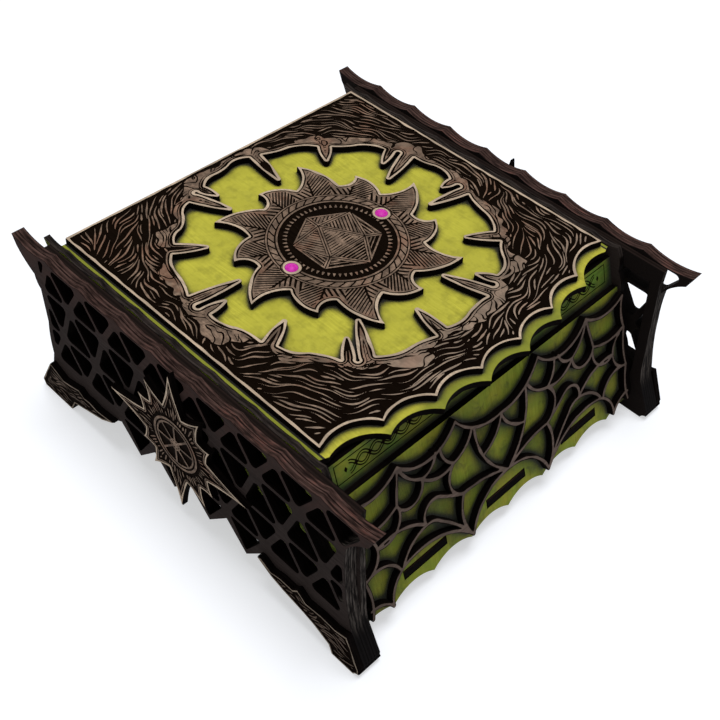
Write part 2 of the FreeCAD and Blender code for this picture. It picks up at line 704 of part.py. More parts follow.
# ---- the whole chest ----------------------------------------------------------------------
def chest():
    parts = {}
    for name, shape in side_parts().items():
        parts["right_" + name] = shape
        parts["left_" + name] = mirrored(shape)
    parts.update(case_parts())
    parts.update(tray_lining())
    parts.update(lid_parts())
    for name, middle in (("left", -hinge_x), ("right", hinge_x)):
        for piece, shape in hinge_parts(middle).items():
            parts[name + "_" + piece] = shape
    screws = []
    for middle in (-hinge_x, hinge_x):
        for x in (-screw_spread, screw_spread):
            screws.append(screw_shape(middle + x, hinge_z - leaf_drop / 2, screw_head))
    parts["hinge_screws"] = Part.makeCompound(screws)
    parts.update(drawer_parts())
    return parts


os.makedirs("parts", exist_ok=True)
for node, solid in chest().items():
    solid.exportStep("parts/" + node + ".step")
    print(node, len(solid.Solids), solid.isValid(), round(solid.Volume, 1))
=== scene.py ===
import math

import bpy
import numpy as np
from mathutils import Matrix, Vector


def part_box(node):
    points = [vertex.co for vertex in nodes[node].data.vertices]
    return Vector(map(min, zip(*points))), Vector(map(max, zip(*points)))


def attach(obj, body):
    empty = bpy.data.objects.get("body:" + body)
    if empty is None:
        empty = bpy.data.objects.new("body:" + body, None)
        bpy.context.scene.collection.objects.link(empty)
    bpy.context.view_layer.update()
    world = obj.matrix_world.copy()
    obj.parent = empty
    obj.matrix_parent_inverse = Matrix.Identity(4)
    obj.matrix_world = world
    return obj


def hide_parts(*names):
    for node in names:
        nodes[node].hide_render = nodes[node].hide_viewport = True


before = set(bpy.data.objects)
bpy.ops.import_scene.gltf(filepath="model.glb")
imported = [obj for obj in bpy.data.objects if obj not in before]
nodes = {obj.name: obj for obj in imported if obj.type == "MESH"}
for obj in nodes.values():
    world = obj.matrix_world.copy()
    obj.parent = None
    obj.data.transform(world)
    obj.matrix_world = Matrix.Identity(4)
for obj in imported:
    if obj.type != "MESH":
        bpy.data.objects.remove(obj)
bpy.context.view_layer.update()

scene = bpy.context.scene
MM = 0.001

# ------------------------ directions
X, Y, Z = Vector((1, 0, 0)), Vector((0, 1, 0)), Vector((0, 0, 1))
LEAN = math.radians(18.3)  # the drawer front and the fascia lean back
FRONT = Vector((0, -math.cos(LEAN), math.sin(LEAN)))
UP_FRONT = Vector((0, math.sin(LEAN), math.cos(LEAN)))


# ------------------------ colours
def linear(r, g, b):
    """A colour written as on a screen, 0 to 255, as the linear value a shader takes."""
    return tuple(c / 3294.6 if c <= 10.3 else ((c / 255 + 0.055) / 1.055) ** 2.4 for c in (r, g, b)) + (1,)


def shade(colour, factor):
    return tuple(min(c * factor, 1) for c in colour[:3]) + (1,)


CHAR = linear(12, 8, 7)  # sides of a laser cut
SOOT = linear(4, 3, 3)  # glue lines and the lips of a cut

YELLOW_GREEN = linear(192, 186, 58)  # the lid's panel, with its patches, specks, margin, and its soot and painted shade
PANEL_OLIVE = linear(126, 122, 30)
PANEL_SPECK = linear(84, 84, 24)
PANEL_MARGIN = linear(92, 108, 24)
# soot and painted shade where pieces stand on the lid's panel
PANEL_SOOT_AND_SHADE = linear(16, 14, 5)

SIDE_GREEN = linear(126, 140, 26)  # the green walls, and what tints the fronts
FASCIA_GREEN = linear(84, 113, 27)
FRONT_YELLOW = linear(162, 148, 34)
FRONT_SMOKE = linear(52, 58, 18)
# soot and painted shade round what stands on a front
FRONT_SOOT_AND_SHADE = linear(15, 17, 6)

TAN = linear(143, 119, 100)  # strokes between the engraved cuts, and the rim round them
TAN_REDDISH = linear(134, 84, 60)
# painted light: the strokes' tan as if brightly lit, laid on the front of the lid
TAN_PAINTED_SUNLIT = linear(180, 160, 141)
PALE_TAN = linear(194, 172, 148)
RECESS = linear(15, 8, 4)  # ground of the engraving
WEB = linear(100, 84, 75)  # cores of the web's strands

RAIL = linear(72, 54, 49)  # side frames
RAIL_GLINT = linear(138, 82, 70)
# painted shade in the groove beside the rail
RAIL_GROOVE_SHADE = linear(34, 26, 23)
LATTICE = linear(54, 46, 43)
POST_DARK, POST_GREY = linear(24, 20, 19), linear(96, 88, 82)
FOOT = linear(22, 20, 20)
WALL_TOP_DARK, WALL_TOP_GREY = linear(24, 21, 20), linear(62, 54, 50)
DARK_INSIDE = linear(52, 38, 32)  # wood inside the tray and the drawer

FELT_DARK, FELT_LIGHT = linear(20, 20, 21), linear(52, 50, 52)
BRASS = linear(176, 138, 84), linear(130, 98, 58)  # clean, stained
WORN_BRASS = linear(114, 86, 48), linear(76, 56, 30)
GEM_DEEP, GEM_BRIGHT, GEM_GLOW = linear(178, 18, 140), linear(214, 38, 178), linear(214, 30, 176)
FLOOR_GREY = (0.58, 0.60, 0.64, 1)
SKY = (0.93, 0.96, 1.0, 1)


# ------------------------ materials
class Finish:
    """A small builder of one material's node tree."""

    def __init__(self, name):
        self.material = bpy.data.materials.new(name)
        self.material.use_nodes = True
        self.tree = self.material.node_tree
        self.shader = self.tree.nodes["Principled BSDF"]
        self.coords = self.tree.nodes.new("ShaderNodeTexCoord")

    def node(self, kind, inputs=(), output=0, **settings):
        made = self.tree.nodes.new(kind)
        for key, value in settings.items():
            setattr(made, key, value)
        for slot, value in enumerate(inputs):
            self.put(made.inputs[slot], value)
        return made.outputs[output]

    def put(self, socket, value):
        if isinstance(value, bpy.types.NodeSocket):
            self.tree.links.new(value, socket)
        elif value is not None:
            socket.default_value = value

    def math(self, operation, a, b=None, c=None):
        return self.node("ShaderNodeMath", (a, b, c), operation=operation)

    def times(self, a, b):
        return self.math("MULTIPLY", a, b)

    def dot(self, a, b):
        return self.node("ShaderNodeVectorMath", (a, b), output=1, operation="DOT_PRODUCT")

    def millimetres(self):
        return self.node("ShaderNodeVectorMath", (self.coords.outputs["Object"], (1000,) * 3),
                         operation="MULTIPLY")

    def vector(self, x, y, z):
        return self.node("ShaderNodeCombineXYZ", (x, y, z))

    def split(self, where):
        parts = self.tree.nodes.new("ShaderNodeSeparateXYZ")
        self.put(parts.inputs[0], where)
        return parts.outputs

    def along(self, direction):
        """How far the surface looks along a direction, from -1 to 1."""
        return self.dot(self.coords.outputs["Normal"], tuple(direction))

    def noise(self, where, scale, detail, roughness=0.55, distortion=0.0):
        made = self.tree.nodes.new("ShaderNodeTexNoise")
        self.put(made.inputs["Vector"], where)
        made.inputs["Scale"].default_value = scale
        made.inputs["Detail"].default_value = detail
        made.inputs["Roughness"].default_value = roughness
        made.inputs["Distortion"].default_value = distortion
        return made.outputs["Fac"]

    def band(self, value, low, high, out_low=0.0, out_high=1.0):
        """Rises smoothly from out_low to out_high while value goes from low to high."""
        made = self.tree.nodes.new("ShaderNodeMapRange")
        made.interpolation_type = "SMOOTHSTEP"
        for slot, number in enumerate((value, low, high, out_low, out_high)):
            self.put(made.inputs[slot], number)
        return made.outputs[0]

    def patches(self, where, scale, detail, roughness, low, high):
        """Random patches, 0 where the noise is under low and 1 over high."""
        return self.band(self.noise(where, scale, detail, roughness), low, high)

    def mix(self, factor, a, b):
        made = self.tree.nodes.new("ShaderNodeMix")
        made.data_type = "RGBA"
        self.put(made.inputs[0], factor)
        self.put(made.inputs[6], a)
        self.put(made.inputs[7], b)
        return made.outputs[2]

    def relief(self, height, distance, strength):
        made = self.tree.nodes.new("ShaderNodeBump")
        made.inputs["Strength"].default_value = strength
        made.inputs["Distance"].default_value = distance
        self.put(made.inputs["Height"], height)
        self.put(self.shader.inputs["Normal"], made.outputs[0])


made_finishes = {}
DULL = 0.015  # gloss of charred and dark wood
SATIN = 0.12  # gloss of engraved wood
wall_low, wall_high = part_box("right_side_wall")
SHEET = (wall_high[0] - wall_low[0]) / MM  # thickness of the plywood
SIDE_ORIGIN = wall_low[0] / MM  # where the sheets of the right side begin
GRAIN_RELIEF = 0.00012  # m


def wood(name, layer, grain, face, edge, streak=0.22, blotch=0.10, pores=0.35, rough=0.72, fade=None,
         gloss=0.30, zones=None, origin=0.0):
    """Laser-cut plywood: a grained face across layer, and charred cut sides that show the veneers.

    zones(finish, at, face tone, edge tone, streaks) may change both tones from place to place.
    """
    if name in made_finishes:
        return made_finishes[name]
    f = Finish(name)
    layer, grain = Vector(layer).normalized(), Vector(grain).normalized()
    across = layer.cross(grain)
    at = f.millimetres()
    along = f.dot(at, tuple(grain))
    side = f.dot(at, tuple(across))
    deep = f.dot(at, tuple(layer))

    def fibres(lengthwise, crosswise, value, detail, roughness):
        where = f.vector(f.times(along, lengthwise), f.times(value, crosswise), deep)
        return f.noise(where, 1, detail, roughness)

    wander = f.math("MULTIPLY_ADD", fibres(0.012, 0.05, side, 2, 0.55), 9.0, side)
    fibre = fibres(0.07, 1.5, wander, 5, 0.62)
    pore = f.band(fibres(0.30, 5.5, wander, 3, 0.6), 0.60, 0.72)
    patch = f.noise(at, 0.045, 3, 0.5)

    tone = f.mix(f.band(fibre, 0.30, 0.70), shade(face, 1 - streak), shade(face, 1 + streak))
    if fade is None:
        tone = f.mix(f.band(patch, 0.32, 0.68), shade(face, 1 - blotch), tone)
    else:
        tone = f.mix(f.band(patch, 0.40, 0.66, 0.0, 0.75), tone, fade)
    tone = f.mix(f.times(pore, pores), tone, shade(face, 0.42))

    streaks = f.noise(f.vector(f.times(along, 0.11), f.times(side, 0.11), f.times(deep, 1.3)), 1, 5, 0.66)
    char = f.mix(f.band(streaks, 0.35, 0.66), shade(edge, 0.5), shade(edge, 1.5))
    if zones:
        tone, char = zones(f, at, tone, char, streaks)
    sheet = f.math("FRACT", f.math("DIVIDE", f.math("SUBTRACT", deep, origin), SHEET))
    from_middle = f.math("ABSOLUTE", f.math("SUBTRACT", sheet, 0.5))
    char = f.mix(f.band(from_middle, 0.12, 0.20, 0.50, 0.0), char, SOOT)
    char = f.mix(f.band(from_middle, 0.40, 0.47, 0.0, 0.92), char, SOOT)

    facing = f.math("ABSOLUTE", f.along(layer))
    flat = f.band(facing, 0.70, 0.80)
    f.put(f.shader.inputs["Base Color"], f.mix(flat, char, tone))
    f.put(f.shader.inputs["Roughness"], f.band(fibre, 0.25, 0.75, rough + 0.10, rough - 0.08))
    f.put(f.shader.inputs["Specular IOR Level"], f.band(facing, 0.70, 0.80, DULL, gloss))
    f.relief(f.math("ADD", f.times(fibre, 0.6), f.times(pore, -0.5)), GRAIN_RELIEF, 0.7)
    made_finishes[name] = f.material
    return f.material


def near_others(f, reach):
    """Ambient occlusion, used as painted shade: 1 in the open, towards 0 where other pieces stand within
    reach mm.
    """
    made = f.tree.nodes.new("ShaderNodeAmbientOcclusion")
    made.samples = 8
    made.inputs["Distance"].default_value = reach * MM
    return made.outputs["AO"]


def outward(f, x):
    """1 on faces that look away from the middle of the chest, -1 on faces that look towards it."""
    return f.times(f.math("SIGN", x), f.along(X))


# Where the finishes of the sides and of the lid change, in mm: from the first value to the second.
BROWN_FROM = 66.0, 88.0  # height over which the lattice turns brown towards the rail
RAIL_TOP = 85.8, 87.4  # height over which cut sides become the rail's worn top
FOOT_END = 16.0, 28.0  # height over which the darker foot becomes the post
WALL_TOP = 84.0, 86.0  # height over which the side wall's cut side becomes its top
POST_FRONT = -95.0, -97.0  # Y over which cut sides become the front of the post
GROOVE = [wall_high[0] / MM + SHEET + d for d in (-0.1, 0.1)]  # |X| over which groove becomes rail
MARGIN_FRONT = -76.0, -80.0  # Y over which the panel turns greener towards its front
PAINTED_SUNLIT_SPAN = -28.0, -84.0  # Y over which the lid's engraving is painted paler: a painted pool of light on its front
LID_FRAME_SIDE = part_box("lid_frame")[1][0] / MM
SHADED_STRIP = 0.9, 1.1  # distance from the lid's frame over which its painted shade and soot end
PANEL_REACH, FRONT_REACH = 5.0, 10.0  # how far painted shade and soot reach from a standing piece


def weathered(f, at, tone, char, streaks):
    """Side frames: browner towards the rail, painted shade in the groove along it and on faces turned to the
    middle, grey ply on the edges of the posts.
    """
    x, y, z = f.split(at)
    stain = f.patches(at, 0.11, 4, 0.6, 0.35, 0.65)
    high = f.times(f.band(z, *BROWN_FROM), f.math("MULTIPLY_ADD", stain, 0.5, 0.3))
    tone = f.mix(high, tone, RAIL)
    # painted shade on the faces turned towards the middle of the chest
    tone = f.mix(f.band(outward(f, x), -0.5, 0.5), shade(LATTICE, 0.40), tone)
    glint = f.times(f.band(streaks, 0.50, 0.66), f.patches(at, 0.05, 3, 0.6, 0.48, 0.62))
    top = f.mix(f.band(streaks, 0.38, 0.60), shade(RAIL, 0.30), shade(RAIL, 1.45))
    top = f.mix(f.times(glint, 0.40), top, RAIL_GLINT)
    # painted shade in the groove between the rail and the side wall
    top = f.mix(f.band(f.math("ABSOLUTE", x), *GROOVE), RAIL_GROOVE_SHADE, top)
    post = f.mix(f.band(streaks, 0.40, 0.64), POST_DARK, POST_GREY)
    post = f.mix(f.band(z, *FOOT_END), FOOT, post)
    char = f.mix(f.band(y, *POST_FRONT), char, post)
    return tone, f.mix(f.band(z, *RAIL_TOP), char, top)


def one_sided(f, at, tone, char, streaks):
    """Side walls: stained on the outside only, dark wood with painted shade on the inside, and dark grey
    along their upper edge.
    """
    x, _, z = f.split(at)
    # painted shade: the dark wood of the inside made darker still
    tone = f.mix(f.band(outward(f, x), -0.5, 0.5), shade(DARK_INSIDE, 0.45), tone)
    top = f.mix(f.band(streaks, 0.36, 0.62), WALL_TOP_DARK, WALL_TOP_GREY)
    return tone, f.mix(f.band(z, *WALL_TOP), char, top)


def mottled(f, at, tone, char, _):
    """Lid panel: cloudy olive patches, fine specks, a greener margin, and soot and painted shade where pieces
    stand on it.
    """
    tone = f.mix(f.times(f.patches(at, 0.16, 5, 0.62, 0.42, 0.70), 0.42), tone, PANEL_OLIVE)
    tone = f.mix(f.times(f.patches(at, 0.9, 3, 0.6, 0.66, 0.76), 0.40), tone, PANEL_SPECK)
    x, y, _ = f.split(at)
    upper = f.math("GREATER_THAN", f.along(Z), 0.0)
    aside = f.math("SUBTRACT", f.math("ABSOLUTE", x), LID_FRAME_SIDE)
    beside = f.times(upper, f.math("GREATER_THAN", aside, 0.0))
    around = f.math("MAXIMUM", beside, f.times(upper, f.band(y, *MARGIN_FRONT)))
    tone = f.mix(f.times(around, 0.62), tone, PANEL_MARGIN)
    # painted shade with soot: a dark strip beside the frame, and darkening wherever other pieces stand near
    strip = f.times(beside, f.band(aside, *SHADED_STRIP))
    elsewhere = f.band(near_others(f, PANEL_REACH), 0.58, 0.86)
    clear = f.math("MULTIPLY_ADD", f.math("SUBTRACT", 1.0, beside), elsewhere, strip)
    return f.mix(clear, PANEL_SOOT_AND_SHADE, tone), char


def smoky(f, at, tone, char, _):
    """Fronts: yellower and greener patches, and soot and painted shade round what stands on them."""
    tone = f.mix(f.times(f.patches(at, 0.07, 4, 0.6, 0.36, 0.66), 0.50), tone, FRONT_YELLOW)
    smoke = f.band(f.noise(at, 0.13, 5, 0.65, 0.6), 0.46, 0.70)
    tone = f.mix(f.times(smoke, 0.55), tone, FRONT_SMOKE)
    # painted shade with soot: darker wherever other pieces stand within reach
    return f.mix(f.band(near_others(f, FRONT_REACH), 0.60, 1.0), FRONT_SOOT_AND_SHADE, tone), char


def scorched(f, at, tone, char, _):
    """What the laser left standing: paler, darker and redder from place to place, and painted paler towards
    the front where light falls.
    """
    tone = f.mix(f.patches(at, 0.22, 4, 0.62, 0.38, 0.62), shade(TAN, 0.42), tone)
    tone = f.mix(f.times(f.patches(at, 0.06, 3, 0.55, 0.54, 0.66), 0.30), tone, TAN_REDDISH)
    # painted light: the engraving paler towards the front of the lid
    return f.mix(f.band(f.split(at)[1], *PAINTED_SUNLIT_SPAN, 0.0, 0.42), tone, TAN_PAINTED_SUNLIT), char


def felt_finish():
    f = Finish("felt")
    at = f.millimetres()
    fibres = f.noise(at, 2.4, 5, 0.75, 1.4)
    clumps = f.noise(at, 0.35, 3, 0.6)
    tone = f.mix(f.band(fibres, 0.35, 0.68), FELT_DARK, FELT_LIGHT)
    tone = f.mix(f.band(clumps, 0.35, 0.7, 0.0, 0.35), tone, shade(FELT_LIGHT, 1.3))
    f.put(f.shader.inputs["Base Color"], tone)
    f.shader.inputs["Roughness"].default_value = 0.95
    f.shader.inputs["Specular IOR Level"].default_value = 0.1
    f.shader.inputs["Sheen Weight"].default_value = 0.35
    f.shader.inputs["Sheen Roughness"].default_value = 0.5
    f.relief(fibres, 0.0003, 0.8)
    return f.material


def brass_finish(name="aged_brass", tones=BRASS):
    f = Finish(name)
    at = f.millimetres()
    x, y, z = f.split(at)
    brushed = f.noise(f.vector(f.times(x, 0.4), f.times(y, 9), f.times(z, 9)), 1, 2)
    f.put(f.shader.inputs["Base Color"], f.mix(f.patches(at, 0.45, 5, 0.65, 0.40, 0.76), *tones))
    f.shader.inputs["Metallic"].default_value = 1.0
    f.put(f.shader.inputs["Roughness"], f.band(brushed, 0.3, 0.7, 0.30, 0.50))
    f.relief(brushed, 0.00004, 0.5)
    return f.material


def gem_finish():
    f = Finish("magenta_gem")
    at = f.millimetres()
    cloud = f.noise(at, 0.9, 4, 0.6, 0.8)
    f.put(f.shader.inputs["Base Color"], f.mix(f.band(cloud, 0.3, 0.7), GEM_DEEP, GEM_BRIGHT))
    f.put(f.shader.inputs["Roughness"], f.band(cloud, 0.3, 0.7, 0.38, 0.50))
    f.shader.inputs["Specular IOR Level"].default_value = 0.25
    f.shader.inputs["Emission Color"].default_value = GEM_GLOW
    f.shader.inputs["Emission Strength"].default_value = 0.12
    f.relief(cloud, 0.00008, 0.4)
    return f.material


# ------------------------ drawing on a face
SAME_LEVEL = 3e-6  # m, by how much corners of one face may differ in height
GROUND = -0.40  # mm, the ground of the engravings against their face
RIM_START = 0.06  # mm from a face's outline to the pale rim


class Face:
    """The outermost flat face of a node that looks along normal, with its own two axes in mm."""

    def __init__(self, node, normal):
        self.node = nodes[node]
        self.normal = Vector(normal)
        if abs(self.normal.z) > 0.9:
            self.u, self.v = X, Y
        elif abs(self.normal.x) > 0.9:
            self.u, self.v = Z.cross(self.normal), Z
        else:
            self.u, self.v = X, self.normal.cross(X)
        mesh = self.node.data
        points = np.array([v.co for v in mesh.vertices])
        height = points @ np.array(self.normal)
        self.level = height.max()
        self.on = height > self.level - SAME_LEVEL
        self.points = np.stack((points @ np.array(self.u), points @ np.array(self.v)), 1) / MM
        self.loops = self.outline(mesh)

    def outline(self, mesh):
        """The closed loops of corners round the face and round its holes."""
        names = {}
        ids = [names.setdefault(tuple(np.round(p * 1000).astype(int)), len(names)) for p in self.points]
        place = {i: p for i, p in zip(ids, self.points)}
        edges = set()
        for polygon in mesh.polygons:
            corners = list(polygon.vertices)
            if all(self.on[c] for c in corners):
                ring = [ids[c] for c in corners]
                edges.update(zip(ring, ring[1:] + ring[:1]))
        following = {a: b for a, b in edges if (b, a) not in edges}
        loops = []
        while following:
            first, b = following.popitem()
            loop = [first]
            while b != first:
                loop.append(b)
                b = following.pop(b)
            loops.append(np.array([place[i] for i in loop]))
        return loops

    def to_space(self, flat, height):
        """Points in mm on the face, height mm above it, in the shared frame."""
        flat = np.asarray(flat) * MM
        up = np.array(self.normal) * (self.level + height * MM)
        return flat[:, :1] * np.array(self.u) + flat[:, 1:2] * np.array(self.v) + up


def distances(loops, low, cell, shape, reach):
    """Signed distance in mm from a grid's points to the outline: positive inside, at most reach."""
    rows, columns = shape
    gap = np.full(shape, reach)
    inside = np.zeros(shape, bool)
    for loop in loops:
        for a, b in zip(loop, np.roll(loop, -1, 0)):
            least = np.floor((np.minimum(a, b) - reach - low) / cell).astype(int)
            most = np.ceil((np.maximum(a, b) + reach - low) / cell).astype(int) + 1
            i0, j0 = max(least[0], 0), max(least[1], 0)
            i1, j1 = min(most[0], columns), min(most[1], rows)
            if i1 > i0 and j1 > j0:
                x = low[0] + cell * np.arange(i0, i1)
                y = low[1] + cell * np.arange(j0, j1)[:, None]
                run = b - a
                share = ((x - a[0]) * run[0] + (y - a[1]) * run[1]) / max(run @ run, 1e-12)
                share = np.clip(share, 0, 1)
                away = np.hypot(x - a[0] - share * run[0], y - a[1] - share * run[1])
                gap[j0:j1, i0:i1] = np.minimum(gap[j0:j1, i0:i1], away)
            j0, j1 = sorted(np.ceil((np.array([a[1], b[1]]) - low[1]) / cell).astype(int))
            for j in range(max(j0, 0), min(j1, rows)):
                crossing = a[0] + (low[1] + cell * j - a[1]) * (b[0] - a[0]) / (b[1] - a[1])
                inside[j, :max(int(math.ceil((crossing - low[0]) / cell)), 0)] ^= True
    return np.where(inside, gap, -gap)


def contour(field):
    """The part of a grid where field > 0, as grid points, faces and the boundary's edges."""
    rows, columns = field.shape
    j, i = np.meshgrid(np.arange(rows - 1), np.arange(columns - 1), indexing="ij")
    corner = (j * columns + i).ravel()
    a, b, c, d = corner, corner + 1, corner + columns + 1, corner + columns
    value = field.ravel()
    inside = value > 0
    whole = inside[a] & inside[b] & inside[c] & inside[d]
    quads = np.stack((a, b, c, d), 1)[whole]
    triangles = np.concatenate((np.stack((a, b, c), 1)[~whole], np.stack((a, c, d), 1)[~whole]))
    kept = inside[triangles]
    count = kept.sum(1)
    full = triangles[count == 3]

    def turned(which, wanted):
        """The triangles whose one corner differs from the other two, with that corner first."""
        chosen, marks = triangles[which], kept[which] == wanted
        first = marks.argmax(1)
        return np.take_along_axis(chosen, (first[:, None] + np.arange(3)) % 3, 1)

    one, two = turned(count == 1, True), turned(count == 2, False)
    ends = np.concatenate((one[:, [0, 1]], one[:, [0, 2]], two[:, [0, 1]], two[:, [0, 2]]))
    low, high = ends.min(1), ends.max(1)
    keys, back = np.unique(low * value.size + high, return_inverse=True)
    low, high = keys // value.size, keys % value.size
    share = value[low] / (value[low] - value[high])
    grid = np.stack((np.arange(value.size) % columns, np.arange(value.size) // columns), 1).astype(float)
    cut_points = grid[low] + (grid[high] - grid[low]) * share[:, None]
    ids = back.ravel() + value.size
    n, m = len(one), len(two)
    one_ab, one_ac = ids[:n], ids[n:2 * n]
    two_ab, two_ac = ids[2 * n:2 * n + m], ids[2 * n + m:]
    tips = np.stack((one[:, 0], one_ab, one_ac), 1)
    slabs = np.stack((two_ab, two[:, 1], two[:, 2], two_ac), 1)
    rim = np.concatenate((np.stack((one_ab, one_ac), 1), np.stack((two_ac, two_ab), 1)))
    points = np.concatenate((grid, cut_points))
    return points, [quads, full, tips, slabs], rim


def piece(name, points, faces, material, body):
    """A mesh object of one material, on a body."""
    mesh = bpy.data.meshes.new(name)
    mesh.from_pydata([tuple(p) for p in points], [], [tuple(q) for q in faces])
    mesh.materials.append(material)
    made = bpy.data.objects.new(name, mesh)
    scene.collection.objects.link(made)
    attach(made, body)
    return made


def raised(name, face, field, low, cell, foot, material, body):
    """The positive part of field as a plateau level with the face, with walls down to foot mm."""
    points, faces, rim = contour(field)
    used = np.unique(np.concatenate([part.ravel() for part in faces] + [rim.ravel()]))
    order = np.full(len(points), -1)
    order[used] = np.arange(len(used))
    flat = low + cell * points[used]
    rim_points = np.unique(rim)
    feet = np.full(len(points), -1)
    feet[rim_points] = len(used) + np.arange(len(rim_points))
    all_faces = [order[part].tolist() for part in faces]
    walls = np.stack((order[rim[:, 1]], order[rim[:, 0]], feet[rim[:, 0]], feet[rim[:, 1]]), 1).tolist()
    space = np.concatenate((face.to_space(flat, 0.0), face.to_space(low + cell * points[rim_points], foot)))
    piece(name, space.tolist(), sum(all_faces, []) + walls, material, body)


def sunken(name, face, depth, material, body):
    """A copy of the face's node with that face lowered, the ground the drawing stands on."""
    mesh = face.node.data.copy()
    mesh.materials.clear()
    mesh.materials.append(material)
    drop = Vector(face.normal) * depth * MM
    for vertex, on in zip(mesh.vertices, face.on):
        if on:
            vertex.co -= drop
    made = bpy.data.objects.new(name, mesh)
    scene.collection.objects.link(made)
    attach(made, body)
    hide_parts(face.node.name)


def waves(seed, x, y, size):
    """A smooth random field of about unit size, whose bumps are size mm across."""
    source, count = np.random.default_rng(seed), 14
    total = np.zeros(np.broadcast(x, y).shape)
    for _ in range(count):
        turn, phase = source.uniform(0, 2 * math.pi, 2)
        wave = 2 * math.pi / size * source.uniform(0.55, 1.3)
        total += np.cos(wave * (x * math.cos(turn) + y * math.sin(turn)) + phase)
    return total / math.sqrt(count / 2)


class Engraving:
    """A drawing on a face: a grid that is positive where wood stands between the cuts."""

    def __init__(self, face, cell, reach=7.0):
        everything = np.concatenate(face.loops)
        self.face, self.cell = face, cell
        self.low = everything.min(0) - 2 * cell
        columns, rows = (np.ceil((everything.max(0) - self.low) / cell).astype(int) + 3)
        x = self.low[0] + cell * np.arange(columns)
        y = self.low[1] + cell * np.arange(rows)[:, None]
        self.x, self.y = np.broadcast_arrays(x, y)
        self.depth = distances(face.loops, self.low, cell, (rows, columns), reach)
        self.ink = np.full((rows, columns), -1.0)

    def add(self, field):
        self.ink = np.maximum(self.ink, field)

    def line(self, start, width):
        """A band that starts start mm inside the outline."""
        return width / 2 - np.abs(self.depth - start - width / 2)

    def stroke(self, path, widths):
        """A tapered stroke through the points of path, with half its width at each."""
        for a, b, wide_a, wide_b in zip(path, path[1:], widths, widths[1:]):
            margin = max(wide_a, wide_b) + 2 * self.cell
            i0, j0 = np.maximum(((np.minimum(a, b) - margin - self.low) / self.cell).astype(int), 0)
            i1, j1 = ((np.maximum(a, b) + margin - self.low) / self.cell).astype(int) + 2
            x, y = self.x[j0:j1, i0:i1], self.y[j0:j1, i0:i1]
            run = b - a
            share = np.clip(((x - a[0]) * run[0] + (y - a[1]) * run[1]) / max(run @ run, 1e-9), 0, 1)
            away = np.hypot(x - a[0] - share * run[0], y - a[1] - share * run[1])
            part = self.ink[j0:j1, i0:i1]
            np.maximum(part, wide_a + (wide_b - wide_a) * share - away, out=part)

    def flow(self, seed, turn, where, gap, longest, shortest, widest, merging=0.35):
        """Fills the places where where > 0 with strokes along the field of angles turn, gap mm apart."""
        source = np.random.default_rng(seed)
        step = 0.75  # mm from point to point of a stroke
        room, meeting, parting = gap * 0.8, gap * 0.30, gap * 0.62  # how near strokes start and come
        taken = {}
        size = np.array(self.x.shape)

        def index(p):
            i, j = int((p[0] - self.low[0]) / self.cell), int((p[1] - self.low[1]) / self.cell)
            return (j, i) if 0 <= j < size[0] and 0 <= i < size[1] else None

        def near(p, limit):
            i, j = int(p[0] // gap), int(p[1] // gap)
            for di in (-1, 0, 1):
                for dj in (-1, 0, 1):
                    for q in taken.get((i + di, j + dj), ()):
                        if (q[0] - p[0]) ** 2 + (q[1] - p[1]) ** 2 < limit * limit:
                            return True
            return False

        rows, columns = (int(count * self.cell / gap) for count in self.x.shape)
        seeds = [tuple(self.low[k] + (cell + source.uniform(0, 1)) * gap for k, cell in enumerate((i, j)))
                 for i in range(columns) for j in range(rows)]
        source.shuffle(seeds)
        for start in seeds:
            place = index(start)
            if place is None or where[place] <= 0 or near(start, room):
                continue
            halves = []
            length = source.uniform(shortest, longest) / 2
            closest = meeting if source.random() < merging else parting
            for sense in (1, -1):
                p, path = np.array(start), []
                while len(path) * step < length:
                    angle = turn[place] if not path else turn[index(p)]
                    p = p + sense * step * np.array((math.cos(angle), math.sin(angle)))
                    spot = index(p)
                    if spot is None or where[spot] <= 0 or near(p, closest):
                        break
                    path.append(p)
                halves.append(path)
            path = halves[1][::-1] + [np.array(start)] + halves[0]
            if len(path) * step < shortest * 0.45:
                continue
            for p in path:
                taken.setdefault((int(p[0] // gap), int(p[1] // gap)), []).append(p)
            share = np.linspace(0, 1, len(path))
            peak = source.uniform(0.25, 0.75)
            belly = np.where(share < peak, share / peak, (1 - share) / (1 - peak))
            wide = widest * source.uniform(0.5, 1.0) * (0.14 + 0.86 * np.sin(belly * math.pi / 2) ** 0.8)
            wide *= 1 + 0.22 * np.sin(share * source.uniform(5, 14) + source.uniform(0, 6))
            self.stroke(path, wide)

    def stand(self, name, material, body, foot=GROUND):
        """Makes the drawing as it is now, with walls down to foot mm against the face."""
        raised(name, self.face, self.ink, self.low, self.cell, foot, material, body)


def carve(name, normal, key, cell, body, rim_width, draw):
    """Replaces a node by its lowered ground, what draw leaves standing on it, and a pale rim."""
    face = Face(name, normal)
    art = Engraving(face, cell)
    draw(art)
    sunken(name + "_ground", face, -GROUND, ground_finish(key), body)
    art.stand(name + "_drawing", stroke_finish(key), body)
    art.ink = art.line(RIM_START, rim_width + 0.14 * waves(42, art.x, art.y, 11))
    art.stand(name + "_rim", rim_finish(key), body)


# ------------------------ the lid
MOUTH_CENTRE = 13.4  # Y of the middle of the mouth, the wreath and the die
ROCK_RADIUS = 80  # typical distance of the rock from that middle
LEDGE_REACH = 16.0  # how far from the mouth distances are measured
LEDGE_START = 3.1  # how far from the mouth the ledges start
SECOND_LINE = 2.35  # and the thin line between them and the rim


def strata(seed, turn, out, long, short):
    """A random field about the mouth of the lid, whose bumps are long mm round it by short mm outward."""
    source, count = np.random.default_rng(seed), 30
    total = np.zeros(turn.shape)
    most = 2 * math.pi * ROCK_RADIUS / long
    for _ in range(count):
        heading, size = source.uniform(0, 2 * math.pi), source.uniform(0.55, 1.3)
        round_it = round(most * size * math.cos(heading)) * turn
        away = 2 * math.pi / short * size * math.sin(heading) * out
        total += np.cos(round_it + away + source.uniform(0, 2 * math.pi))
    return total / math.sqrt(count / 2)


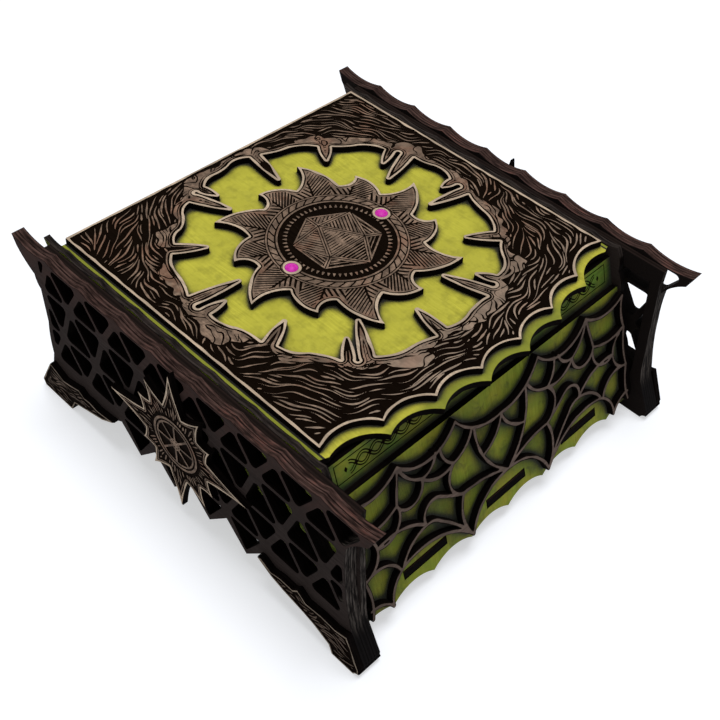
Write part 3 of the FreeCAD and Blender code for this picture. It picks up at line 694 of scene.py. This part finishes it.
def draw_rock(art):
    """Rock round the mouth of a cave: ledges along its edge, split by seams, and long cuts beyond them."""
    x, y = art.x, art.y
    outer = max(art.face.loops, key=lambda loop: np.ptp(loop[:, 0]))
    inner = [loop for loop in art.face.loops if loop is not outer]
    mouth = -distances(inner, art.low, art.cell, art.depth.shape, LEDGE_REACH)
    turn, radius = np.arctan2(y - MOUTH_CENTRE, x), np.hypot(x, y - MOUTH_CENTRE)
    out = radius + 3.0 * waves(11, x, y, 30) + 1.1 * waves(12, x, y, 12) + 0.35 * waves(14, x, y, 5)
    field = strata(31, turn, out, 36, 4.8)
    across, along = np.gradient(field, art.cell)
    seam = np.abs(field) / (np.hypot(across, along) + 0.05) - 0.30 - 0.12 * waves(33, x, y, 6)
    ledge = 2.2 + 2.4 * waves(36, x, y, 26) + 0.5 * waves(37, x, y, 7) - (mouth - 3.6)
    ledge = np.minimum(np.minimum(ledge, mouth - LEDGE_START), art.depth - 2.6)
    art.ink = np.minimum(ledge, seam)
    wander = 0.42 * waves(15, x, y, 44) + 0.26 * waves(16, x, y, 14)
    free = np.minimum(art.depth - 2.7, -ledge - 0.5)
    turn = turn + math.pi / 2 + wander
    art.flow(21, turn, free, gap=2.15, longest=34, shortest=6, widest=0.46, merging=0.6)
    art.ink = np.minimum(art.ink, (art.depth - 1.85) * 1.4)
    second = 0.34 + 0.20 * waves(41, x, y, 14) - np.abs(mouth - SECOND_LINE)
    art.add(np.where(art.depth > 1.8, second, -1))


HATCH_PITCH = 1.55  # mm from cut to cut in a facet of the die
FACET_GAP, FACET_EDGE = 0.62, 0.36  # mm to a facet's line, and half its width


def facets(x, y, radius):
    """A twenty-sided die with one facet towards the eye, hatched facet by facet."""
    def corner(degrees, share=1.0):
        a = math.radians(degrees)
        return np.array((radius * share * math.cos(a), radius * share * math.sin(a)))

    rim = {d: corner(d) for d in range(30, 390, 60)}
    top, right, left = (corner(d, 0.60) for d in (90, -30, 210))
    plan = [((top, right, left), 0, 0.80),  # corners, angle of the hatching, share left standing
            ((top, right, rim[30]), 60, 0.62),
            ((right, left, rim[270]), 0, 0.34),
            ((left, top, rim[150]), 120, 0.68),
            ((top, rim[90], rim[30]), 30, 0.70),
            ((top, rim[150], rim[90]), 150, 0.76),
            ((right, rim[30], rim[330]), 90, 0.44),
            ((right, rim[330], rim[270]), 30, 0.26),
            ((left, rim[270], rim[210]), 150, 0.36),
            ((left, rim[210], rim[150]), 90, 0.56)]
    field = np.full(x.shape, -1.0)
    for corners, tilt, cover in plan:
        corners = list(corners)
        (ax, ay), (bx, by), (cx, cy) = corners
        if (bx - ax) * (cy - ay) - (by - ay) * (cx - ax) < 0:
            corners.reverse()
        within = np.full(x.shape, 99.0)
        for p, q in zip(corners, corners[1:] + corners[:1]):
            run = (q - p) / np.linalg.norm(q - p)
            within = np.minimum(within, run[0] * (y - p[1]) - run[1] * (x - p[0]))
        a = math.radians(tilt)
        across = y * math.cos(a) - x * math.sin(a)
        hatch = np.cos(2 * math.pi * across / HATCH_PITCH) - (1 - 2 * cover)
        hatch = hatch + 0.25 * waves(60 + tilt, x, y, 7)
        edge = FACET_EDGE - np.abs(within - FACET_GAP)
        field = np.maximum(field, np.maximum(np.minimum(hatch * 0.25, (within - 1.3)), edge))
    return field


LEAF_STEP, FIRST_LEAF = math.radians(30), math.radians(6)
LEAF_FROM = 32.5  # radius where the leaves start
ROPE, HOOPS = 29.8, (27.3, 32.0)  # radii of the rope and of the hoops on either side of it
RAYS = 22.7, 26.2  # radii between which short rays stand
DIE_RADIUS = 21.0
GEM_ASIDE, GEM_RING, GEM_CLEAR = 28, 3.95, 5.0  # X of the gems, radii of their rings and of what these clear


def draw_wreath(art):
    """Twelve veined leaves round a rope ring and a twenty-sided die without numbers."""
    dx, dy = art.x, art.y - MOUTH_CENTRE
    radius, turn = np.hypot(dx, dy), np.arctan2(dy, dx)
    leaf = np.round((turn - FIRST_LEAF) / LEAF_STEP)
    aside = turn - FIRST_LEAF - leaf * LEAF_STEP
    across = radius * np.sin(aside) + 0.0077 * (radius - 34) * (52 - radius)
    vein = (np.abs(across) - 0.50) * 0.8
    outer = radius - 33.0
    broad = (np.cos(2 * math.pi * (radius - 1.3 * across) / 3.3) + 0.09 * outer - 0.10) * 0.5
    tight = (np.cos(2 * math.pi * (radius + 1.1 * across) / 2.0) + 0.07 * outer - 0.45) * 0.25
    blade = np.minimum(vein, np.where(across > 0, broad, tight))
    blade = np.minimum(np.minimum(blade, art.depth - 1.75), radius - 32.7)
    blade = np.maximum(blade, np.minimum(0.30 - np.abs(art.depth - 2.1), radius - 32.7))
    rays = np.cos(turn * 60) * 0.4 + 0.1 - 0.22 * (radius - 22.5)
    rays = np.minimum(rays, np.minimum(radius - RAYS[0], RAYS[1] - radius))
    twist = turn * 40 + (radius - ROPE) * 1.5
    rope = np.minimum(1.35 - np.abs(radius - ROPE), (np.cos(twist) + 0.74) * 0.5)
    hoop = np.maximum(0.42 - np.abs(radius - HOOPS[0]), 0.34 - np.abs(radius - HOOPS[1]))
    die = facets(dx, dy, DIE_RADIUS)
    inner = np.maximum(np.maximum(rope, hoop), np.maximum(die, np.where(radius > 21.6, rays, -1)))
    drawing = np.where(radius < LEAF_FROM, inner, blade)
    for side in (-1, 1):
        about = np.hypot(art.x - side * GEM_ASIDE, dy)
        drawing = np.where(about < GEM_CLEAR, 0.55 - np.abs(about - GEM_RING), drawing)
    art.add(np.where(art.depth > 1.3, drawing, -1))


# ------------------------ the sides
STAR_Y, STAR_Z = -0.9, 48.8  # the star's middle
WHEEL = 14.5  # radius of the wheel in it
WHEEL_RINGS = 13.6, 11.6


def draw_star(art):
    """A ring with eight spokes, and tapered cuts that run out along the rays of the star."""
    dx, dy = art.x - STAR_Y * art.face.u.y, art.y - STAR_Z
    radius, turn = np.hypot(dx, dy), np.arctan2(dy, dx)
    rays = np.minimum(radius - 15.4, art.depth - 2.7)
    art.flow(71, turn + 0.12 * waves(70, dx, dy, 12), rays, gap=1.7, longest=17, shortest=5, widest=0.50)
    art.ink = np.minimum(art.ink, art.depth - 2.1)
    art.add(np.minimum(0.26 - np.abs(art.depth - 1.65), radius - 14.8))
    ring = np.maximum(0.62 - np.abs(radius - WHEEL_RINGS[0]), 0.45 - np.abs(radius - WHEEL_RINGS[1]))
    eighth = np.round(turn / (math.pi / 4)) * math.pi / 4
    spoke = np.minimum(0.50 - np.abs(radius * np.sin(turn - eighth)), 11.5 - radius)
    hub = np.maximum(1.7 - radius, 0.35 - np.abs(radius - 2.9))
    art.ink = np.where(radius < WHEEL, np.maximum(np.maximum(ring, spoke), hub), art.ink)


def draw_bark(art):
    """Bark of a root: strokes along it that part and meet."""
    angle = 0.45 * waves(81, art.x, art.y, 16) + 0.20 * waves(82, art.x, art.y, 6)
    art.flow(83, angle, art.depth - 2.0, gap=1.7, longest=20, shortest=4, widest=0.55)
    art.ink = np.minimum(art.ink, art.depth - 1.3)


def side_carvings(side):
    out = X if side == "right" else -X
    carve(side + "_star", out, "x", 0.24, "case", 0.80, draw_star)
    for root in ("_front_root", "_back_root"):
        carve(side + root, out, "root", 0.26, "case", 0.70, draw_bark)


# ------------------------ the fascia
BORDER = 86.0, 4.6  # half the length and half the height of the double border
STRIP_MIDDLE = 6.4  # from the strip's upper edge down to the braid
BRAID_SWING, BRAID_PITCH = 2.5, 15.0
STRAND, CUT = 0.62, 0.30  # half the width of a strand, and of the cut on either side
BRAID_END, END_MARK = 78.75, 80.6  # X where the braid stops, and of the diamond beyond it
FASCIA_CUT, WEB_CUT = 0.22, 0.10  # depths


def fascia():
    """A double border and a plain two-strand braid, cut into the green strip over the drawer."""
    face = Face("fascia", FRONT)
    art = Engraving(face, 0.28)
    top = art.face.loops[0][:, 1].max()
    x, y = art.x, art.y - (top - STRIP_MIDDLE)
    frame_gap = np.maximum(np.abs(x) - BORDER[0], np.abs(y) - BORDER[1])
    border = np.abs(frame_gap) - 0.24
    wave = 2 * math.pi * x / BRAID_PITCH
    slope = np.hypot(1.0, BRAID_SWING * 2 * math.pi / BRAID_PITCH * np.cos(wave))
    one, two = (np.abs(y - swing * np.sin(wave)) / slope for swing in (BRAID_SWING, -BRAID_SWING))
    strands = np.minimum(np.abs(one - STRAND), np.abs(two - STRAND)) - CUT
    crossing = BRAID_PITCH / 2
    lens = np.abs(np.mod(x + crossing / 2, crossing) - crossing / 2)
    diamond = lens + np.abs(y) - 1.15
    mark = np.minimum(strands, diamond)
    ends = np.abs(np.abs(x) - END_MARK) + np.abs(y) * 0.6 - 0.9
    mark = np.where(np.abs(x) < BRAID_END, mark, ends)
    art.ink = np.minimum(np.minimum(border, np.where(frame_gap < -0.6, mark, 9)), art.depth - 0.04)
    sunken("fascia_ground", face, FASCIA_CUT, ground_finish("front"), "case")
    finish = wood("green_fascia", FRONT, X, FASCIA_GREEN, CHAR, zones=smoky)
    art.stand("fascia_face", finish, "case", foot=-FASCIA_CUT)


def web():
    """The strands of the web, scorched along both edges and paler along the middle."""
    face = Face("drawer_web", FRONT)
    art = Engraving(face, 0.22, 3.0)
    art.ink = art.depth - 0.34 - 0.10 * waves(61, art.x, art.y, 9)
    sunken("web_ground", face, WEB_CUT, ground_finish("web"), "drawer")
    finish = wood("web_strands", FRONT, X, WEB, CHAR, streak=0.30, fade=shade(WEB, 0.55), gloss=SATIN)
    art.stand("web_strands", finish, "drawer", foot=-WEB_CUT)


# For each kind of engraved face: across the sheet and along its grain, and how much lighter its strokes and
# its rim are than those of the lid. For the stars of the sides ('x') this is painted light, making up for the
# light their faces turn away from; the roots' strokes and rim are darker.
AXES = {"x": (X, Y), "z": (Z, Y), "front": (FRONT, X), "web": (FRONT, X), "root": (X, Y)}
TONE_AND_PAINTED_LIGHT = {"root": (0.45, 0.55), "x": (1.12, 1.30)}


def ground_finish(key):
    return wood("engraved_ground_" + key, *AXES[key], RECESS, CHAR, streak=0.35, pores=0.5, rough=0.85,
                gloss=DULL)


def stroke_finish(key):
    # on the stars of the sides this lift is painted light
    tone = shade(TAN, TONE_AND_PAINTED_LIGHT.get(key, (1, 1))[0])
    return wood("engraved_strokes_" + key, *AXES[key], tone, RECESS, streak=0.30, fade=shade(tone, 0.62),
                gloss=SATIN, zones=scorched if key != "root" else None)


def rim_finish(key):
    # on the stars of the sides this lift is painted light
    tone = shade(PALE_TAN, TONE_AND_PAINTED_LIGHT.get(key, (1, 1))[1])
    return wood("engraved_rim_" + key, *AXES[key], tone, CHAR, streak=0.24, fade=shade(tone, 0.62),
                gloss=SATIN)


# ------------------------ felt and screws
def turns(count):
    """The pairs of neighbours in a ring of count."""
    return [(k, (k + 1) % count) for k in range(count)]


def felt_pad(name, node, body):
    """A cut sheet of felt, with soft rounded edges and a slightly uneven nap."""
    low, high = [Vector(c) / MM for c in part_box(node)]
    nap = high.z - low.z
    inset, front_gap = 0.15, 0.5  # mm left free at the sides and, beyond the nap, in front
    sunk, swell, edge_drop = 0.16, 0.14, 0.45  # mm under the top: on average, up or down, at the edge
    ends = (low.x + inset, high.x - inset, low.y + nap + front_gap, high.y - inset)
    x, y = np.meshgrid(np.linspace(ends[0], ends[1], 71), np.linspace(ends[2], ends[3], 69))
    edge = np.minimum(np.minimum(x - ends[0], ends[1] - x), np.minimum(y - ends[2], ends[3] - y))
    uneven = 0.07 * waves(91, x, y, 17) + 0.04 * waves(92, x, y, 6)
    top = high.z - sunk + np.clip(uneven, -swell, swell)
    top = np.where(edge < 1e-6, high.z - edge_drop, top)
    rows, columns = x.shape
    upper = np.stack((x, y, top), 2).reshape(-1, 3)
    ring = [i for i in range(columns)] + [j * columns + columns - 1 for j in range(1, rows)]
    ring += [(rows - 1) * columns + i for i in range(columns - 2, -1, -1)]
    ring += [j * columns for j in range(rows - 2, 0, -1)]
    lower = upper[ring].copy()
    lower[:, 2] = low.z + 0.02
    faces = [(j * columns + i, j * columns + i + 1, (j + 1) * columns + i + 1, (j + 1) * columns + i)
             for j in range(rows - 1) for i in range(columns - 1)]
    base = rows * columns
    count = len(ring)
    faces += [(ring[b], ring[a], base + a, base + b) for a, b in turns(count)]
    faces.append(tuple(base + k for k in range(count - 1, -1, -1)))
    points = np.concatenate((upper, lower)) * MM
    made = piece(name, points.tolist(), faces, felt_finish(), body)
    for polygon in made.data.polygons:
        polygon.use_smooth = len(polygon.vertices) == 4
    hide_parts(node)


HINGE_X, SCREW_ASIDE, SCREW_Z = 56.0, 8.0, 79.4  # middle of a hinge, from it to its screws, height
LEAF_FACE, HEAD_FOOT, SCREW_TIP = 95.0, 94.9, 90.3  # Y
HEAD, SHANK, SHANK_SIDES = 1.5, 0.78, 16  # radii, and the sides of the round shank
DOME, SLOT_HALF, SLOT_DEPTH = 0.46, 0.235, 0.26  # height of the head, half the slot's width, its depth


def slotted_screws():
    """Four domed screws with a slot, through the fixed hinge leaves."""
    worn = brass_finish("worn_brass", WORN_BRASS)
    right_half = (0.23, 0.24, 0.45, 0.7, 0.95, 1.2, 1.38, 1.47, HEAD)
    columns = [-x for x in reversed(right_half)] + list(right_half)
    rows, sides = 13, SHANK_SIDES
    for hinge, middle in (("left", -HINGE_X), ("right", HINGE_X)):
        for shift in (-SCREW_ASIDE, SCREW_ASIDE):
            points, faces = [], []
            tilt = math.radians(20 * shift / SCREW_ASIDE + middle)
            for x in columns:
                half = math.sqrt(max(HEAD ** 2 - x * x, 0.0))
                for row in range(rows):
                    z = half * (2 * row / (rows - 1) - 1)
                    rise = DOME * math.sqrt(max(1 - (x * x + z * z) / 2.4, 0.0))
                    if abs(x) < SLOT_HALF:
                        rise -= SLOT_DEPTH
                    across = x * math.cos(tilt) - z * math.sin(tilt)
                    up = x * math.sin(tilt) + z * math.cos(tilt)
                    points.append((middle + shift + across, LEAF_FACE + rise, SCREW_Z + up))
            for i in range(len(columns) - 1):
                for row in range(rows - 1):
                    a = i * rows + row
                    faces.append((a, a + 1, a + rows + 1, a + rows))
            loop = [i * rows for i in range(len(columns))]
            loop += [i * rows + rows - 1 for i in range(len(columns) - 1, -1, -1)]
            base, count = len(points), len(loop)
            points += [(points[k][0], HEAD_FOOT, points[k][2]) for k in loop]
            for a, b in turns(count):
                faces.append((loop[a], loop[b], base + b, base + a))
            first = len(points)
            for depth in (HEAD_FOOT, SCREW_TIP):
                for k in range(sides):
                    a = 2 * math.pi * k / sides
                    across, up = SHANK * math.cos(a), SHANK * math.sin(a)
                    points.append((middle + shift + across, depth, SCREW_Z + up))
            for a, b in turns(sides):
                faces.append((first + a, first + b, first + sides + b, first + sides + a))
            faces.append(tuple(first + sides + k for k in range(sides)))
            name = "hinge_screw_%s_%s" % (hinge, "outer" if middle * shift > 0 else "inner")
            made = piece(name, (np.array(points) * MM).tolist(), faces, worn, "case")
            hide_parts("hinge_screws")


# ------------------------ finishes of the frame's own nodes
def assign(material, *names):
    for name in names:
        mesh = nodes[name].data
        mesh.materials.clear()
        mesh.materials.append(material)


def both(*names):
    return [side + "_" + name for side in ("left", "right") for name in names]


def dress_nodes():
    assign(wood("lid_panel", Z, Y, YELLOW_GREEN, CHAR, streak=0.13, blotch=0.12, zones=mottled), "lid_panel")
    assign(wood("green_wall_x", X, Y, SIDE_GREEN, CHAR, zones=one_sided, origin=SIDE_ORIGIN),
           *both("side_wall"))
    assign(wood("green_wall_y", Y, X, SIDE_GREEN, CHAR), "back_wall")
    assign(wood("green_front", FRONT, UP_FRONT, SIDE_GREEN, CHAR, zones=smoky), "drawer_front")
    assign(wood("side_frames", X, Y, LATTICE, CHAR, streak=0.35, gloss=DULL, zones=weathered,
                origin=SIDE_ORIGIN),
           *both("inner_lattice", "outer_lattice", "rail_spacer", "front_leg", "back_leg"))
    assign(wood("dark_x", X, Y, DARK_INSIDE, CHAR, gloss=DULL), *both("runner", "tray_divider", "tray_liner"),
           "drawer_right_side", "drawer_left_side", "cross_drawer_divider")
    assign(wood("dark_y", Y, X, DARK_INSIDE, CHAR, gloss=DULL), "drawer_back", "long_tray_divider",
           "long_drawer_divider")
    assign(wood("dark_z", Z, Y, DARK_INSIDE, CHAR, gloss=DULL), "tray_floor", "drawer_floor")
    assign(brass_finish(), *both("case_leaf", "lid_leaf", "hinge_pin"))
    assign(gem_finish(), *both("gem"))


# ------------------------ light, floor and camera
FLOOR_GLOW, SKYLIGHT = 0.52, 0.36  # strengths
SUN_STRENGTH, SUN_ANGLE, SUNBEAM = 2.0, math.radians(32), Vector((-0.12, -0.06, -1.0))
FOCAL_LENGTH, SENSOR = 55.1, 36  # mm
EYE = -0.2717, -0.2500, 0.4102  # m
EYE_RIGHT, EYE_UP = Vector((0.70490, -0.70774, 0.04704)), Vector((0.49004, 0.53387, 0.68909))
EYE_FORWARD = Vector((0.51281, 0.46269, -0.72315))


def sight(tree):
    """1 for rays that end in the eye, straight, mirrored or through a piece; 0 for those that carry light."""
    path = tree.nodes.new("ShaderNodeLightPath")
    total = path.outputs["Is Camera Ray"]
    for kind in ("Is Glossy Ray", "Is Transmission Ray"):
        larger = tree.nodes.new("ShaderNodeMath")
        larger.operation = "MAXIMUM"
        tree.links.new(total, larger.inputs[0])
        tree.links.new(path.outputs[kind], larger.inputs[1])
        total = larger.outputs[0]
    return total


def stage():
    """A pale floor, a white studio and its soft light, one lamp and the camera."""
    bpy.ops.mesh.primitive_circle_add(vertices=96, radius=4.0, fill_type="NGON", location=(0, 0, -0.0002))
    floor = bpy.context.object
    floor.name = "floor"
    f = Finish("floor")
    f.shader.inputs["Base Color"].default_value = FLOOR_GREY
    f.shader.inputs["Roughness"].default_value = 0.9
    f.shader.inputs["Specular IOR Level"].default_value = 0.0
    glow = f.tree.nodes.new("ShaderNodeEmission")
    f.put(glow.inputs["Strength"], f.times(sight(f.tree), FLOOR_GLOW))
    total = f.node("ShaderNodeAddShader", (f.shader.outputs[0], glow.outputs[0]))
    f.put(f.tree.nodes["Material Output"].inputs["Surface"], total)
    floor.data.materials.append(f.material)

    scene.world = bpy.data.worlds.new("studio")
    scene.world.use_nodes = True
    tree = scene.world.node_tree
    sky, white = tree.nodes["Background"], tree.nodes.new("ShaderNodeBackground")
    white.inputs["Color"].default_value = (1, 1, 1, 1)
    sky.inputs["Color"].default_value = SKY
    sky.inputs["Strength"].default_value = SKYLIGHT
    choose = tree.nodes.new("ShaderNodeMixShader")
    for socket, output in zip(choose.inputs, (sight(tree), sky.outputs[0], white.outputs[0])):
        tree.links.new(output, socket)
    tree.links.new(choose.outputs[0], tree.nodes["World Output"].inputs["Surface"])

    sun = bpy.data.lights.new("key", "SUN")
    sun.energy, sun.angle = SUN_STRENGTH, SUN_ANGLE
    lamp = bpy.data.objects.new("key", sun)
    lamp.rotation_euler = SUNBEAM.to_track_quat("-Z", "Y").to_euler()
    scene.collection.objects.link(lamp)

    lens = bpy.data.cameras.new("camera")
    lens.lens, lens.sensor_width, lens.sensor_fit = FOCAL_LENGTH, SENSOR, "HORIZONTAL"
    lens.clip_start = 0.01
    camera = bpy.data.objects.new("camera", lens)
    turn = Matrix((EYE_RIGHT, EYE_UP, -EYE_FORWARD)).transposed().to_4x4()
    camera.matrix_world = Matrix.Translation(EYE) @ turn
    scene.collection.objects.link(camera)
    scene.camera = camera


stage()
dress_nodes()
carve("lid_frame", Z, "z", 0.30, "lid", 1.10, draw_rock)
carve("lid_wreath", Z, "z", 0.24, "lid", 1.10, draw_wreath)
for side_name in ("left", "right"):
    side_carvings(side_name)
fascia()
web()
felt_pad("tray_felt_sheet", "tray_felt", "case")
felt_pad("drawer_felt_sheet", "drawer_felt", "drawer")
slotted_screws()

scene.view_settings.view_transform = "Standard"
